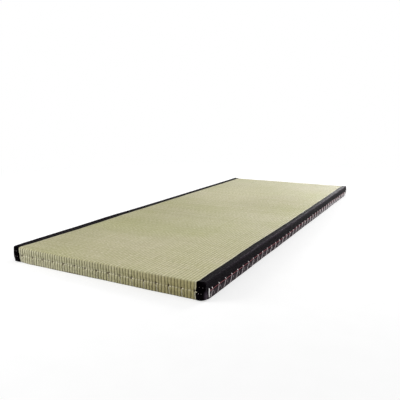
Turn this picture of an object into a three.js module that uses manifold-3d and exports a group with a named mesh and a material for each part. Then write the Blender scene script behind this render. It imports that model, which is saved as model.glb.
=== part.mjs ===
// Tatami mat: a rush-faced filled body with a black cloth binding sewn along each long edge.
// Millimetres, +Z up, length along Y, origin at the middle of the underside.
import * as THREE from 'three';
import { mergeVertices } from 'three/addons/utils/BufferGeometryUtils.js';
import Module from 'manifold-3d';

// Driving sizes of the finished mat, over the bindings
const WIDTH = 800;
const LENGTH = 2000;
const HEIGHT = 60;
const BINDING_WIDTH = 25; // top band, and the tabs on the short ends
const BINDING_THICKNESS = 1.8; // cloth folded over its paper
const BINDING_PROUD = 1.3; // how far the binding stands out past the rush
const BINDING_HEM_Z = 2; // lower edge of the binding above the surface
const GAP = 0.3; // between one piece and the next

// Rounding
const CORNER_RADIUS = 10; // upright corners, in plan
const CORNER_SQUARENESS = 4.5; // 2 would be a round corner; more is nearer to square
const END_EDGE_RADIUS = 9; // where the rush turns down over the short ends
const SIDE_EDGE_RADIUS = 6; // top edge under the binding
const FOOT_RADIUS = 4; // all round the underside

// Unevenness along the ends and sides
const END_FADE = 45; // the end seam flattens out over this length before a corner
const SIDE_FADE = 70; // and the side stitch line over this
const CORNER_SHARE = 0.2; // what is left of either at the corner itself
const END_STITCHES = 16; // the seam is drawn in a little more at each stitch
const STITCH_DIMPLE = 0.9;
const END_WAVES = [
  { height: 0.45, length: 310, start: 40 },
  { height: 0.25, length: 127, start: 15 },
];
const SIDE_WAVES = [
  { height: 0.5, length: 640, start: 120 },
  { height: 0.3, length: 290, start: 35 },
];

// Steps along the outline
const CORNER_STEPS = 4;
const SIDE_STEPS = 24;
const FOOT_STEPS = 3;
const EDGE_STEPS = 4;

// How far each wall is drawn in between foot and top edge, at heights above the surface
const WALL_ROWS = [
  { z: 8, end: 0.5, side: 0.3, dimple: 0 },
  { z: 15, end: 0.2, side: 0.6, dimple: 0 },
  { z: 21, end: 0.6, side: 1.9, dimple: 0.2 },
  { z: 27, end: 1.7, side: 0.8, dimple: 0.8 },
  { z: 29, end: 2.3, side: 0.5, dimple: 1 },
  { z: 31, end: 0.7, side: 0.3, dimple: 0.3 },
  { z: 37, end: 0.0, side: 0, dimple: 0 },
  { z: 45, end: 0.1, side: 0, dimple: 0 },
];

const RUSH = { color: 0xbcb790, roughness: 0.75, metalness: 0 };
const CLOTH = { color: 0x1b181c, roughness: 0.6, metalness: 0 };

const rushHalfWidth = WIDTH / 2 - BINDING_PROUD;
const rushHalfLength = LENGTH / 2 - BINDING_PROUD;
const rushTop = HEIGHT - BINDING_PROUD;
const bandInnerX = WIDTH / 2 - BINDING_WIDTH;
const pressedGrow = BINDING_PROUD - BINDING_THICKNESS - GAP; // the body where a binding covers it

function smooth(t) {
  const c = THREE.MathUtils.clamp(t, 0, 1);
  return c * c * (3 - 2 * c);
}

// A slow ripple that only ever draws a wall in
function waves(list, along) {
  const ripple = (wave) => wave.height * (1 + Math.sin((2 * Math.PI * (along + wave.start)) / wave.length));
  return list.reduce((sum, wave) => sum + ripple(wave), 0);
}

// The wall's rows from the underside up to the top face, for a skin that stands `grow` outside the rush.
// Each row has its height, how far the end and side walls lie in from the rush's own outline at the
// corners, and how much further they are drawn in away from them.
function wallRows(grow) {
  const plain = { endDraw: 0, sideDraw: 0, dimple: 0 };
  const rows = [];
  const arc = (radius, steps, from, centreZ) => {
    for (let i = 0; i <= steps; i++) {
      const angle = from + (Math.PI / 2) * (i / steps);
      rows.push({
        ...plain,
        endZ: centreZ.end + (radius.end + grow) * Math.sin(angle),
        sideZ: centreZ.side + (radius.side + grow) * Math.sin(angle),
        end: radius.end - (radius.end + grow) * Math.cos(angle),
        side: radius.side - (radius.side + grow) * Math.cos(angle),
      });
    }
  };
  const foot = { end: FOOT_RADIUS, side: FOOT_RADIUS };
  if (grow < 0) rows.push({ ...plain, ...foot, endZ: 0, sideZ: 0 });
  arc(foot, FOOT_STEPS, -Math.PI / 2, foot);
  for (const { z, end, side, dimple } of WALL_ROWS) {
    rows.push({
      endZ: z,
      sideZ: z,
      end: CORNER_SHARE * end - grow,
      side: CORNER_SHARE * side - grow,
      endDraw: (1 - CORNER_SHARE) * end,
      sideDraw: (1 - CORNER_SHARE) * side,
      dimple: STITCH_DIMPLE * dimple,
    });
  }
  const edge = { end: END_EDGE_RADIUS, side: SIDE_EDGE_RADIUS };
  arc(edge, EDGE_STEPS, 0, { end: rushTop - edge.end, side: rushTop - edge.side });
  return rows;
}

// Bends the sine or cosine of a round corner out towards a square one
function squarer(t) {
  return Math.sign(t) * Math.abs(t) ** (2 / CORNER_SQUARENESS);
}

// Positions along a wall of the given half length, without the corners at its two ends
function stations(halfLength, steps) {
  const reach = halfLength - CORNER_RADIUS;
  return Array.from({ length: steps + 1 }, (_, i) => -reach + (2 * reach * i) / steps);
}

// One closed loop round the mat at a wall row, counter-clockwise from above
function loopAt(row) {
  const points = [];
  const cornerX = rushHalfWidth - CORNER_RADIUS;
  const cornerY = rushHalfLength - CORNER_RADIUS;
  const radiusX = CORNER_RADIUS - row.side;
  const radiusY = CORNER_RADIUS - row.end;
  const stitchPitch = (2 * cornerX) / END_STITCHES;
  const endInset = (x) => {
    const fade = smooth((cornerX - Math.abs(x)) / END_FADE);
    const atStitch = 0.5 - 0.5 * Math.cos((2 * Math.PI * (x + cornerX)) / stitchPitch);
    return fade * (row.endDraw + waves(END_WAVES, x) + row.dimple * atStitch);
  };
  const sideInset = (y) => {
    const fade = smooth((cornerY - Math.abs(y)) / SIDE_FADE);
    return fade * (row.sideDraw + waves(SIDE_WAVES, y));
  };
  const corner = (signX, signY, from) => {
    for (let i = 1; i < CORNER_STEPS; i++) {
      const angle = from + (Math.PI / 2) * (i / CORNER_STEPS);
      const level = THREE.MathUtils.lerp(row.endZ, row.sideZ, Math.abs(Math.cos(angle)));
      points.push([
        signX * cornerX + radiusX * squarer(Math.cos(angle)),
        signY * cornerY + radiusY * squarer(Math.sin(angle)),
        level,
      ]);
    }
  };
  const alongEnds = stations(rushHalfWidth, END_STITCHES * 2);
  const alongSides = stations(rushHalfLength, SIDE_STEPS);
  for (const y of alongSides) points.push([cornerX + radiusX - sideInset(y), y, row.sideZ]);
  corner(1, 1, 0);
  for (const x of alongEnds) points.push([-x, cornerY + radiusY - endInset(-x), row.endZ]);
  corner(-1, 1, Math.PI / 2);
  for (const y of alongSides) points.push([-cornerX - radiusX + sideInset(-y), -y, row.sideZ]);
  corner(-1, -1, Math.PI);
  for (const x of alongEnds) points.push([x, -cornerY - radiusY + endInset(x), row.endZ]);
  corner(1, -1, 1.5 * Math.PI);
  return points;
}

// Closed geometry through the loops of all rows, with a flat underside and a flat top
function matGeometry(grow) {
  const loops = wallRows(grow).map(loopAt);
  const count = loops[0].length;
  const triangles = [];
  for (let r = 0; r + 1 < loops.length; r++) {
    for (let i = 0; i < count; i++) {
      const j = (i + 1) % count;
      const [a, b, c, d] = [r * count + i, r * count + j, (r + 1) * count + j, (r + 1) * count + i];
      triangles.push(a, b, c, a, c, d);
    }
  }
  const cap = (loop, first, up) => {
    const outline = loop.map(([x, y]) => new THREE.Vector2(x, y));
    for (const [a, b, c] of THREE.ShapeUtils.triangulateShape(outline, [])) {
      triangles.push(first + a, first + (up ? b : c), first + (up ? c : b));
    }
  };
  cap(loops[0], 0, false);
  cap(loops.at(-1), (loops.length - 1) * count, true);
  const geometry = new THREE.BufferGeometry();
  geometry.setAttribute('position', new THREE.Float32BufferAttribute(loops.flat(2), 3));
  geometry.setIndex(triangles);
  return geometry;
}

const wasm = await Module();
wasm.setup();

function toSolid(geometry) {
  const bare = geometry.clone();
  bare.deleteAttribute('normal');
  bare.deleteAttribute('uv');
  const merged = mergeVertices(bare, 1e-4);
  const mesh = new wasm.Mesh({
    numProp: 3,
    vertProperties: new Float32Array(merged.attributes.position.array),
    triVerts: new Uint32Array(merged.index.array),
  });
  return new wasm.Manifold(mesh);
}

function toGeometry(solid) {
  const mesh = solid.getMesh();
  const geometry = new THREE.BufferGeometry();
  geometry.setAttribute('position', new THREE.Float32BufferAttribute(mesh.vertProperties, 3));
  geometry.setIndex([...mesh.triVerts]);
  geometry.computeVertexNormals();
  return geometry;
}

// A box between two corners, for cutting
function block(low, high) {
  const size = new THREE.Vector3().subVectors(high, low);
  const geometry = new THREE.BoxGeometry(size.x, size.y, size.z);
  const middle = new THREE.Vector3().addVectors(low, high).multiplyScalar(0.5);
  geometry.translate(middle.x, middle.y, middle.z);
  return toSolid(geometry);
}

// The space on one side (+1 right, -1 left) past x, above z
function edgeSpace(side, x, z) {
  const far = WIDTH;
  const low = new THREE.Vector3(side > 0 ? x : -far, -LENGTH, z);
  const high = new THREE.Vector3(side > 0 ? far : -x, LENGTH, HEIGHT * 2);
  return block(low, high);
}

// Filled body: full size between the bindings, and drawn in a little where they press on it
function rushBody() {
  const full = toSolid(matGeometry(0));
  const pressed = toSolid(matGeometry(pressedGrow));
  const reach = bandInnerX - GAP;
  const between = block(
    new THREE.Vector3(-reach, -LENGTH, -HEIGHT),
    new THREE.Vector3(reach, LENGTH, HEIGHT * 2),
  );
  return full.intersect(between).add(pressed);
}

// One binding: the mat's outer skin past the band's inner edge, down to its hem
function binding(side) {
  const outer = toSolid(matGeometry(BINDING_PROUD));
  const inner = toSolid(matGeometry(BINDING_PROUD - BINDING_THICKNESS));
  return outer.subtract(inner).intersect(edgeSpace(side, bandInnerX, BINDING_HEM_Z));
}

function piece(name, solid, finish) {
  const mesh = new THREE.Mesh(toGeometry(solid), new THREE.MeshStandardMaterial(finish));
  mesh.name = name;
  return mesh;
}

const group = new THREE.Group();
group.add(piece('rush_body', rushBody(), RUSH));
group.add(piece('binding_left', binding(-1), CLOTH));
group.add(piece('binding_right', binding(1), CLOTH));

export default group;
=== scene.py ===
"""A tatami mat: woven rush facing drawn round a firm filling, with a black cloth binding sewn
along each long edge. Metres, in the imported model's frame: length along Y, +X to binding_right,
and the origin in the middle of the underside."""
import math

import bmesh
import bpy
import numpy as np
from mathutils import Matrix, Vector
from mathutils.bvhtree import BVHTree


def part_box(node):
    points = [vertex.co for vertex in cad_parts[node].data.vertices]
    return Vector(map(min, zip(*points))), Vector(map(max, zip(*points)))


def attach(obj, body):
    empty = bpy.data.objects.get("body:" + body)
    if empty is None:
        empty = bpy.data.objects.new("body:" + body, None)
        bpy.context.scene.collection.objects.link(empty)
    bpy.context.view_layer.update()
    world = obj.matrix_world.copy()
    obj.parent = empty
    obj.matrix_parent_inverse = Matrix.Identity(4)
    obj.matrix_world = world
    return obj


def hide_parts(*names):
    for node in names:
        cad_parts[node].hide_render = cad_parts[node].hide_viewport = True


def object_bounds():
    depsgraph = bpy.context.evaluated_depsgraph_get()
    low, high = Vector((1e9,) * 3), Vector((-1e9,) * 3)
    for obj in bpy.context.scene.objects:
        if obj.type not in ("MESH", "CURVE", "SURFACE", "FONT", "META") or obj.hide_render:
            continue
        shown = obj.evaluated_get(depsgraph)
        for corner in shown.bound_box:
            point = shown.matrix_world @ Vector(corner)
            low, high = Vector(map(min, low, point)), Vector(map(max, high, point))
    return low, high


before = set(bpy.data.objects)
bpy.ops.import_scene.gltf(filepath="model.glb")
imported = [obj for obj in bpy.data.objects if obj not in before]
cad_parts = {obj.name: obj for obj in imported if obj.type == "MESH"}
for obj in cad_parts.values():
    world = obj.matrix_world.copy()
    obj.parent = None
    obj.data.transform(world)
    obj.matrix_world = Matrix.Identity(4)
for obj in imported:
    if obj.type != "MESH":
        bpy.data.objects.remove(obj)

MM = 0.001
CAD_LOW, CAD_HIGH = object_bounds()

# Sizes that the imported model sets
RUSH_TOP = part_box("rush_body")[1].z
PROUD = CAD_HIGH.z - RUSH_TOP
HALF_WIDTH = CAD_HIGH.x - PROUD
HALF_LENGTH = CAD_HIGH.y - PROUD
BAND_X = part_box("binding_right")[0].x
HEM_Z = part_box("binding_right")[0].z

# The mat's outline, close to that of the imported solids
CORNER = 10 * MM
CORNER_SQUARENESS = 4.5
CORNER_POINTS = 5
END_EDGE = 7.5 * MM
SIDE_EDGE = 6 * MM
CLOTH_EDGE = 4.5 * MM
FOOT = 4 * MM
CORNER_X = HALF_WIDTH - CORNER
CORNER_Y = HALF_LENGTH - CORNER
CORNER_SHARE = 0.2
TOP_INSET = 2.5 * MM
END_FADE = 45 * MM
SIDE_FADE = 70 * MM
END_WAVES = ((0.45 * MM, 310 * MM, 40 * MM), (0.25 * MM, 127 * MM, 15 * MM))
SIDE_WAVES = ((0.5 * MM, 640 * MM, 120 * MM), (0.3 * MM, 290 * MM, 35 * MM))

# Profiles up the walls: heights above the floor, each with the distance there, in millimetres
END_DRAW = ((0, 0), (4, 0.3), (9, 0.5), (16, 0.15), (21, 0.1), (25, 0.5), (27, 0.9),
            (29.5, 1.2), (32, 0.9), (36, 0.3), (41, 0.0), (51, 0.0), (60, 0))
SIDE_DRAW = ((0, 0.1), (5, 0.2), (12, 0.3), (18, 0.6), (22, 1.2), (24, 1.5), (26, 1.3),
             (29, 0.7), (33, 0.3), (38, 0.0), (60, 0))
STEPPED_TAB = ((0, 5.4), (11, 5.2), (35, 5.0), (38, 3.2), (60, 2.6))
PLAIN_TAB = ((0, 9.4), (9, 8.2), (15, 6.0), (37, 4.0), (60, 1.4))
FULL_TUCK = ((0, 5.0), (5, 4.1), (12, 3.0), (20, -0.2), (29, -1.2), (37, -0.6), (46, 0.5),
             (54, 2.1))
PLAIN_TUCK = ((0, 1.7), (5, 1.2), (12, 0.9), (34, 0))

# Profiles along the mat: places in metres, each with the distance there in millimetres
LEFT_BAND = ((-0.95, 5), (-0.8, 5), (-0.7, 9), (-0.55, 7), (-0.4, 4), (0.2, 4.5), (0.9, 6))
RIGHT_BAND = ((-0.8, 0.8), (-0.65, 2.3), (-0.44, 2.0), (-0.32, -1.2), (0.1, -1.6), (0.3, -0.7),
              (0.6, 0.3), (0.9, 3.0))
RED_LINE = ((-0.97, 24.8), (-0.5, 24.6), (-0.28, 22.0), (-0.05, 23.8), (0.3, 24.2), (1.0, 23.4))
TICK_RISE = ((-0.95, 7.6), (-0.85, 5.4), (-0.5, 3.2), (0.0, 3.2))
LEG_SLANT = ((-0.95, 14), (-0.88, 20), (-0.4, 22), (0.6, 24))

# Shares along the mat: how full the left band's fold is, how much wear and painted sheen the top
# edges show, and how loosely the right side's threads lie
LEFT_ROLL = ((-0.97, 1.6), (-0.87, 2.6), (-0.7, 2.4), (-0.6, 3.0), (-0.5, 4.3), (-0.4, 4.1),
             (-0.3, 2.6), (-0.1, 2.0), (0.3, 1.6))
EDGE_WEAR_AND_SHEEN = ((-0.97, 0.03), (-0.7, 0.2), (-0.1, 0.3), (0.9, 0.42))
LOOSENESS = ((-0.9, 0), (-0.4, 0.1), (0.1, 0.5), (0.6, 0.9))

# Rush ribs, sewing and cloth
RIBS = 66
RIB_PITCH = 2 * BAND_X / RIBS
RIB_PHASES = (0.0, 0.12, 0.3, 0.5, 0.7, 0.88)
SEAM_Z = 28.4 * MM
END_STITCHES = 16
END_STITCH_LEAN = 0.21
SIDE_STITCH_PITCH = 47.4 * MM
SIDE_STITCH_FIRST = -948 * MM
SIDE_STITCHES = 41
RED_LINE_Z = 24 * MM
CLOTH_OUT = PROUD
CLOTH_IN = -0.5 * MM
PRESSED = -1.1 * MM
STRAND_PITCH = 3.2 * MM
CLOTH_YARN = 0.7 * MM
BACKING_YARN = 2.4 * MM
TWIST_PITCH = 4 * MM
THREAD_SIDES = 6
THREAD_WANDER = 0.3 * MM


# ---------------------------------------------------------------- outline of the mat

def smooth(t):
    c = np.clip(t, 0, 1)
    return c * c * (3 - 2 * c)


def past(place, start, reach):
    """0 up to the start, then rising to 1 over the reach."""
    return smooth((place - start) / reach)


def short_of(place, end, reach):
    """0 from the end on, and rising to 1 over the reach before it."""
    return smooth((end - place) / reach)


def hump(distance, width):
    """1 at no distance, falling off over the width."""
    return np.exp(-(distance / width) ** 2)


def ripple(along, length, start=0.0):
    return np.sin(2 * math.pi * along / length + start)


def waves(list_of_waves, along):
    total = np.zeros_like(along)
    for height, length, start in list_of_waves:
        total = total + height * (1 + ripple(along + start, length))
    return total


def follow(profile, place):
    """What a profile, a row of places and values, gives at a place."""
    places, values = zip(*profile)
    return np.interp(place, places, values)


def drawn_in(profile, z):
    return float(follow(profile, z / MM)) * MM


def foot_row(degrees):
    """The rounding under the walls. Each kind of row gives, for a skin that stands `grow` outside
    the rush, its heights at the end and side walls, their insets at the corners, and how much
    further they are drawn in away from them."""
    angle = math.radians(degrees)

    def row(grow):
        z = FOOT + (FOOT + grow) * math.sin(angle)
        inset = FOOT - (FOOT + grow) * math.cos(angle)
        return z, z, inset, inset, 0.0, 0.0
    return row


def wall_row(z):
    def row(grow):
        end, side = drawn_in(END_DRAW, z), drawn_in(SIDE_DRAW, z)
        share = 1 - CORNER_SHARE
        return (z, z, CORNER_SHARE * end - grow, CORNER_SHARE * side - grow,
                share * end, share * side)
    return row


def edge_row(degrees, end, side):
    """The rounding where the walls meet the top, of one radius at the ends and one at the sides."""
    angle = math.radians(degrees)

    def row(grow):
        up, out = math.sin(angle), math.cos(angle)
        return (RUSH_TOP - end + (end + grow) * up, RUSH_TOP - side + (side + grow) * up,
                end - (end + grow) * out, side - (side + grow) * out, 0.0, 0.0)
    return row


def skin_rows(foot_turns, heights, end, side):
    """All rows from the foot up: turns in degrees, then heights in millimetres, then the edge."""
    return ([foot_row(a) for a in foot_turns] + [wall_row(z * MM) for z in heights]
            + [edge_row(a, end, side) for a in (0, 15, 30, 45, 60, 75, 90)])


def points_at(x, y, z):
    """Points from their coordinates, any of which may be one number for all."""
    return np.stack(np.broadcast_arrays(x, y, z), 1)


def half_skin(sign, grow, xs, ys, rows):
    """Points of one half of the mat's skin, standing `grow` outside the rush: the loops of the
    walls from the front end's xs[0] round the side to the back end's, then the top's grid."""
    points = []
    end_fade = short_of(xs, CORNER_X, END_FADE)
    side_fade = short_of(np.abs(ys), CORNER_Y, SIDE_FADE)
    end_wave = waves(END_WAVES, sign * xs)
    side_wave = waves(SIDE_WAVES, ys)
    turn = np.radians(np.linspace(0, 90, CORNER_POINTS + 2)[1:-1])
    toward_x = np.sin(turn) ** (2 / CORNER_SQUARENESS)
    toward_y = np.cos(turn) ** (2 / CORNER_SQUARENESS)
    for row in rows:
        end_z, side_z, end, side, end_draw, side_draw = row(grow)
        radius_x, radius_y = CORNER - side, CORNER - end
        end_y = CORNER_Y + radius_y - end_fade * (end_draw + end_wave)
        side_x = CORNER_X + radius_x - side_fade * (side_draw + side_wave)
        arc_x = CORNER_X + radius_x * toward_x
        arc_y = CORNER_Y + radius_y * toward_y
        arc_z = end_z + (side_z - end_z) * np.sin(turn)
        points += [
            points_at(xs, -end_y, end_z),
            points_at(arc_x, -arc_y, arc_z),
            points_at(side_x, ys, side_z),
            points_at(arc_x, arc_y, arc_z)[::-1],
            points_at(xs, end_y, end_z)[::-1],
        ]
    grid_x, grid_y = np.meshgrid(xs, ys * (1 - TOP_INSET / CORNER_Y), indexing="ij")
    points.append(points_at(grid_x.ravel(), grid_y.ravel(), RUSH_TOP + grow))
    skin = np.concatenate(points)
    skin[:, 0] *= sign
    return skin


def loop_size(nx, ny):
    """How many of half_skin's points each row of the walls has."""
    return 2 * nx + 2 * CORNER_POINTS + ny


def half_ends(nx, ny, rows):
    """For each of half_skin's points: -1 on the front end's wall, 1 on the back's, or 0; and
    whether it is on the long side's wall."""
    end = nx + CORNER_POINTS
    loop = np.array([-1] * end + [0] * ny + [1] * end)
    ends = np.concatenate([np.tile(loop, rows), np.zeros(nx * ny, int)])
    sides = np.concatenate([np.tile(loop == 0, rows), np.zeros(nx * ny, bool)])
    return ends, sides


def half_faces(nx, ny, rows):
    """Faces of the skin that half_skin's points make, for the right half."""
    loop = loop_size(nx, ny)
    faces = []
    for r in range(rows - 1):
        for i in range(loop - 1):
            a = r * loop + i
            faces.append((a, a + 1, a + loop + 1, a + loop))
    last, grid = (rows - 1) * loop, rows * loop
    side, back = last + nx + CORNER_POINTS, last + loop - 1

    def cell(i, j):
        return grid + i * ny + j
    for i in range(nx - 1):
        faces.append((last + i, last + i + 1, cell(i + 1, 0), cell(i, 0)))
        faces.append((cell(i, ny - 1), cell(i + 1, ny - 1), back - i - 1, back - i))
        for j in range(ny - 1):
            faces.append((cell(i, j), cell(i + 1, j), cell(i + 1, j + 1), cell(i, j + 1)))
    for j in range(ny - 1):
        faces.append((cell(nx - 1, j), side + j, side + j + 1, cell(nx - 1, j + 1)))
    for arc_start, j in ((last + nx - 1, 0), (side + ny - 1, ny - 1)):
        arc = tuple(arc_start + k for k in range(CORNER_POINTS + 2))
        faces.append((*arc, cell(nx - 1, j)))
    return faces


def tab_edge(z, end, side):
    """Where a binding's tab begins on an end: the left one's cut is plain and the right one's
    has a small step, and both widen downwards."""
    width = np.where(side * end < 0, follow(STEPPED_TAB, z / MM) * MM,
                     follow(PLAIN_TAB, z / MM) * MM)
    return BAND_X - width


def band_edge(y, side):
    """Where a binding's top band begins: cut and folded by hand, so it isn't quite straight."""
    wobble = 0.5 * MM * ripple(y, 0.31, side) + 0.35 * MM * ripple(y, 0.117)
    wider = np.where(side < 0, follow(LEFT_BAND, y) * MM, follow(RIGHT_BAND, y) * MM)
    return BAND_X - (wider + wobble) * short_of(np.abs(y), CORNER_Y, 60 * MM)


def faced_x(x, y):
    """The place across an end as it is faced: below 0 to the left of its middle."""
    return x * -np.sign(y)


def corner_tuck(x, y, z):
    """At the left corner of each end the tab is full in the middle, and leans in at its top and
    foot."""
    tuck = np.where(faced_x(x, y) < 0, follow(FULL_TUCK, z / MM), follow(PLAIN_TUCK, z / MM))
    tuck = tuck * past(np.abs(y), 0.94, 0.05)
    return -np.sign(x) * tuck * MM * past(np.abs(x), 0.382, 0.012)


def corner_lift(x, y, z):
    """The foot stands a little clear of the floor towards the left corner of each end, and turns
    up sharply at the right one."""
    on_left = faced_x(x, y) < 0
    lift = np.where(on_left, 2.2, 0.4) * past(np.abs(x), 0.325, 0.04)
    lift = lift * past(np.abs(y), 0.92, 0.06)
    turned_up = past(np.abs(x), 0.385, 0.013) * past(np.abs(y), 0.972, 0.024)
    lift = lift + np.where(on_left, 0.0, 3.4) * turned_up
    return lift * MM * short_of(z, 16 * MM, 16 * MM)


# ---------------------------------------------------------------- meshes and node trees

def new_object(name, data):
    made = bpy.data.objects.new(name, data)
    bpy.context.scene.collection.objects.link(made)
    return made


def new_mesh(name, points, faces, mend):
    """A mesh that `mend` puts right, through Blender's mesh tools."""
    mesh = bpy.data.meshes.new(name)
    mesh.from_pydata(points.tolist(), [], faces)
    shaped = bmesh.new()
    shaped.from_mesh(mesh)
    mend(shaped)
    shaped.to_mesh(mesh)
    shaped.free()
    return mesh


def store(mesh, name, values, kind="FLOAT"):
    attribute = mesh.attributes.new(name, kind, "POINT")
    field = {"FLOAT": "value", "FLOAT_VECTOR": "vector", "BOOLEAN": "value"}[kind]
    attribute.data.foreach_set(field, np.asarray(values).ravel())


def corner_points(mesh):
    """The point that each corner of each face stands on."""
    corners = np.zeros(len(mesh.loops), int)
    mesh.loops.foreach_get("vertex_index", corners)
    return corners


def lay_out(mesh, name, uv):
    layer = mesh.uv_layers.new(name=name)
    layer.data.foreach_set("uv", uv.ravel())


class Nodes:
    """Adds nodes to a tree. An input is a value, or the output socket that feeds it."""

    def __init__(self, tree):
        self.tree = tree

    def feed(self, socket, value):
        if isinstance(value, bpy.types.NodeSocket):
            self.tree.links.new(value, socket)
        else:
            socket.default_value = value

    def add(self, kind, *inputs, out=0, named=None, **settings):
        node = self.tree.nodes.new(kind)
        for name, value in settings.items():
            setattr(node, name, value)
        given = list(enumerate(inputs)) + list((named or {}).items())
        for key, value in given:
            if value is not None:
                self.feed(node.inputs[key], value)
        return node.outputs[out]

    def math(self, operation, *inputs, clamp=False):
        return self.add("ShaderNodeMath", *inputs, operation=operation, use_clamp=clamp)

    def plus(self, a, b):
        return self.math("ADD", a, b)

    def minus(self, a, b):
        return self.math("SUBTRACT", a, b)

    def times(self, a, b):
        return self.math("MULTIPLY", a, b)

    def over(self, a, b):
        return self.math("DIVIDE", a, b)

    def power(self, a, b):
        return self.math("POWER", a, b)

    def arch(self, phase):
        """0 at 0 and at 1, and 1 half way."""
        return self.math("SINE", self.times(phase, math.pi))

    def scaled(self, vector, amount):
        return self.add("ShaderNodeVectorMath", vector, named={"Scale": amount},
                        operation="SCALE")

    def ramp(self, value, low, high, to_low=0.0, to_high=1.0):
        return self.add("ShaderNodeMapRange", value, low, high, to_low, to_high,
                        interpolation_type="SMOOTHSTEP")

    def mix(self, factor, a, b, blend="MIX"):
        return self.add("ShaderNodeMix", named={0: factor, 6: a, 7: b}, out=2,
                        data_type="RGBA", blend_type=blend)

    def lerp(self, factor, a, b):
        return self.add("ShaderNodeMix", named={0: factor, 2: a, 3: b}, out=0,
                        data_type="FLOAT")

    def toward(self, base, tint, *masks):
        """The base colour leaning to a tint, as far as all the masks together let it."""
        share = masks[0]
        for mask in masks[1:]:
            share = self.times(share, mask)
        return self.mix(share, base, colour(*tint))

    def filtered(self, base, tint):
        return self.mix(1.0, base, colour(*tint), "MULTIPLY")

    def parts(self, vector):
        node = self.tree.nodes.new("ShaderNodeSeparateXYZ")
        self.feed(node.inputs[0], vector)
        return node.outputs[0], node.outputs[1], node.outputs[2]

    def joined(self, x, y, z=0.0):
        return self.add("ShaderNodeCombineXYZ", x, y, z)

    def noise(self, vector, scale, detail=2.0, roughness=0.5, seed=0.0):
        return self.add("ShaderNodeTexNoise", named={
            "Vector": vector, "W": seed, "Scale": scale, "Detail": detail,
            "Roughness": roughness}, noise_dimensions="4D")

    def random(self, x, y):
        """A random number for each x and y."""
        return self.add("ShaderNodeTexWhiteNoise", self.joined(x, y), noise_dimensions="2D")

    def place(self):
        """The place on the object, in its own metres."""
        return self.add("ShaderNodeTexCoord", out=3)

    def stored(self, name, out=2):
        """A stored attribute in a material: a number, or a direction with out=1."""
        return self.add("ShaderNodeAttribute", out=out, attribute_name=name)

    def read(self, name, kind="FLOAT"):
        """A stored attribute in a geometry tree."""
        return self.add("GeometryNodeInputNamedAttribute", name, data_type=kind)

    def keep(self, geometry, name, value, kind="FLOAT"):
        return self.add("GeometryNodeStoreNamedAttribute", geometry, None, name, value,
                        data_type=kind, domain="POINT")

    def finished(self, geometry, material):
        """The geometry as a smooth, plain mesh in its material."""
        shaped = self.add("GeometryNodeSetShadeSmooth", geometry, None, True)
        shaped = self.add("GeometryNodeRealizeInstances", shaped)
        return self.add("GeometryNodeSetMaterial", shaped, None, material)


def node_group(kind, name, inputs, outputs):
    """A group with its named sockets, and the nodes that carry them. An input is given as its
    plain number, or as the kind of its socket. A geometry tree puts out geometry, and a shader
    group numbers."""
    tree = bpy.data.node_groups.new(name, kind)
    for label, value in inputs.items():
        plain = not isinstance(value, str)
        socket = {float: "Float", int: "Int"}[type(value)] if plain else value
        made = tree.interface.new_socket(label, in_out="INPUT", socket_type="NodeSocket" + socket)
        if plain:
            made.default_value = value
    result = "NodeSocketGeometry" if kind == "GeometryNodeTree" else "NodeSocketFloat"
    for label in outputs:
        tree.interface.new_socket(label, in_out="OUTPUT", socket_type=result)
    start = tree.nodes.new("NodeGroupInput")
    end = tree.nodes.new("NodeGroupOutput")
    return tree, Nodes(tree), start.outputs, end.inputs


def grown(name, mesh, tree, values):
    """The plain object that a Geometry Nodes tree makes of a mesh."""
    base = new_object(name + ".base", mesh)
    modifier = base.modifiers.new(tree.name, "NODES")
    modifier.node_group = tree
    sockets = {s.name: s.identifier for s in tree.interface.items_tree
               if s.item_type == "SOCKET" and s.in_out == "INPUT"}
    for label, value in values.items():
        modifier[sockets[label]] = value
    base.update_tag()
    ready = base.evaluated_get(bpy.context.evaluated_depsgraph_get())
    result = bpy.data.meshes.new_from_object(ready)
    result.name = name
    base.modifiers.clear()
    bpy.data.objects.remove(base)
    bpy.data.meshes.remove(mesh)
    return new_object(name, result)


# ---------------------------------------------------------------- shader groups

def rush_strands():
    """Rush woven over a pair of warps to each rib. Neighbouring ribs show alternate strands."""
    tree, n, given, result = node_group(
        "ShaderNodeTree", "rush strands",
        {"Facing": "Vector", "Rib Pitch": RIB_PITCH, "Strand Pitch": STRAND_PITCH},
        ("Height", "Crest", "Strand", "Speck", "Rib"))
    across, along, _ = n.parts(given["Facing"])
    ribs = n.over(across, given["Rib Pitch"])
    rib, phase = n.math("FLOOR", ribs), n.math("FRACT", ribs)
    crest = n.arch(phase)
    odd = n.math("PINGPONG", rib, 1.0)
    wander = n.noise(n.joined(n.times(across, 22.0), n.times(along, 60.0)), 1.0, 1.0)
    strands = n.over(along, given["Strand Pitch"])
    strands = n.plus(strands, n.times(odd, 0.5))
    strands = n.plus(strands, n.times(wander, 1.4))
    strands = n.plus(strands, n.times(phase, 0.35))
    strand, place = n.math("FLOOR", strands), n.math("FRACT", strands)
    around = n.power(n.arch(place), 0.6)
    one = n.minus(n.times(strand, 2.0), odd)
    along_strand = n.noise(n.joined(n.times(across, 9.0), one, 3.0), 1.0, 1.0)
    tone = n.plus(n.times(n.random(one, 7.0), 0.45), n.times(along_strand, 0.55))
    height = n.times(n.power(crest, 0.5), n.plus(0.35, n.times(around, 0.65)))
    n.feed(result["Height"], height)
    n.feed(result["Crest"], crest)
    n.feed(result["Strand"], tone)
    n.feed(result["Speck"], n.random(rib, strand))
    n.feed(result["Rib"], n.random(rib, 31.0))
    return tree


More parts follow.
